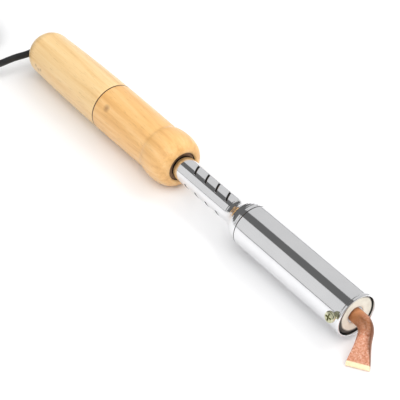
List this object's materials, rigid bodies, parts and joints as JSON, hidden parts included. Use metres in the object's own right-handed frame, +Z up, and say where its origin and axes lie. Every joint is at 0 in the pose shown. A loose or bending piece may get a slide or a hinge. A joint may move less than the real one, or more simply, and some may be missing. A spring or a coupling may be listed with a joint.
{
  "type": "soldering iron",
  "caption": "Mains soldering iron with a turned wooden handle, slotted steel shank, chromed heater barrel and a bent copper chisel bit held by a clamp screw.",
  "frame": {"origin": "middle of the iron's outline on the surface it lies on, cord, hank and plug left out", "axes": "+X runs along the iron towards the bit, +Z up, the clamp screw and the bent bit face -Y"},
  "size_m": [0.4848, 0.0727, 0.0358],
  "materials": {
    "wood_rear": "satin varnish",
    "wood_front": "satin varnish",
    "chrome": "polished",
    "steel": "plain",
    "zinc": "yellow zinc plate",
    "copper": "worn, tinned at the edge",
    "brass": "plain",
    "ceramic": "unglazed ceramic",
    "mica": "matt",
    "fibre": "matt vulcanised fibre",
    "cord_black": "matt",
    "core_brown": "plain",
    "core_blue": "plain",
    "plug_black": "fine grain"
  },
  "bodies": {
    "iron": {"handle_rear_cap": "wood_rear", "handle_front": "wood_front", "cap_pins": "steel", "insulating_bush": "fibre", "shank_tube": "chrome", "retaining_washer": "steel", "barrel": "chrome", "bit_sleeve": "steel", "heating_winding": "steel", "mica_inner": "mica", "mica_outer": "mica", "packing_sleeve": "mica", "end_bush": "ceramic", "end_disc": "ceramic", "heater_lead_left": "ceramic", "heater_lead_right": "ceramic", "clamp_nut": "steel", "terminal_block": "ceramic", "terminal_screws": "brass", "cord_clamp_lower": "fibre", "cord_clamp_upper": "fibre", "cord_clamp_screws": "steel", "cord_inner": "cord_black", "core_brown": "core_brown", "core_blue": "core_blue", "cord_grommet": "fibre", "power_cord": "cord_black", "plug_cord": "cord_black", "cord_hank": "cord_black", "hank_tie": "fibre", "plug_body": "plug_black", "plug_pins": "brass", "plug_relief": "plug_black"},
    "bit": {"copper_tip": "copper"},
    "screw": {"clamp_screw": "zinc"}
  },
  "joints": [
    {"name": "bit_slide", "type": "slide", "parent": "iron", "child": "bit", "axis": [1, 0, 0], "range_m": [0, 0.069]},
    {"name": "clamp_screw_turn", "type": "hinge", "parent": "iron", "child": "screw", "pos_m": [0.1474, 0, 0.0179], "axis": [0, -0.9336, 0.3584], "range_deg": [0, 1080]}
  ]
}
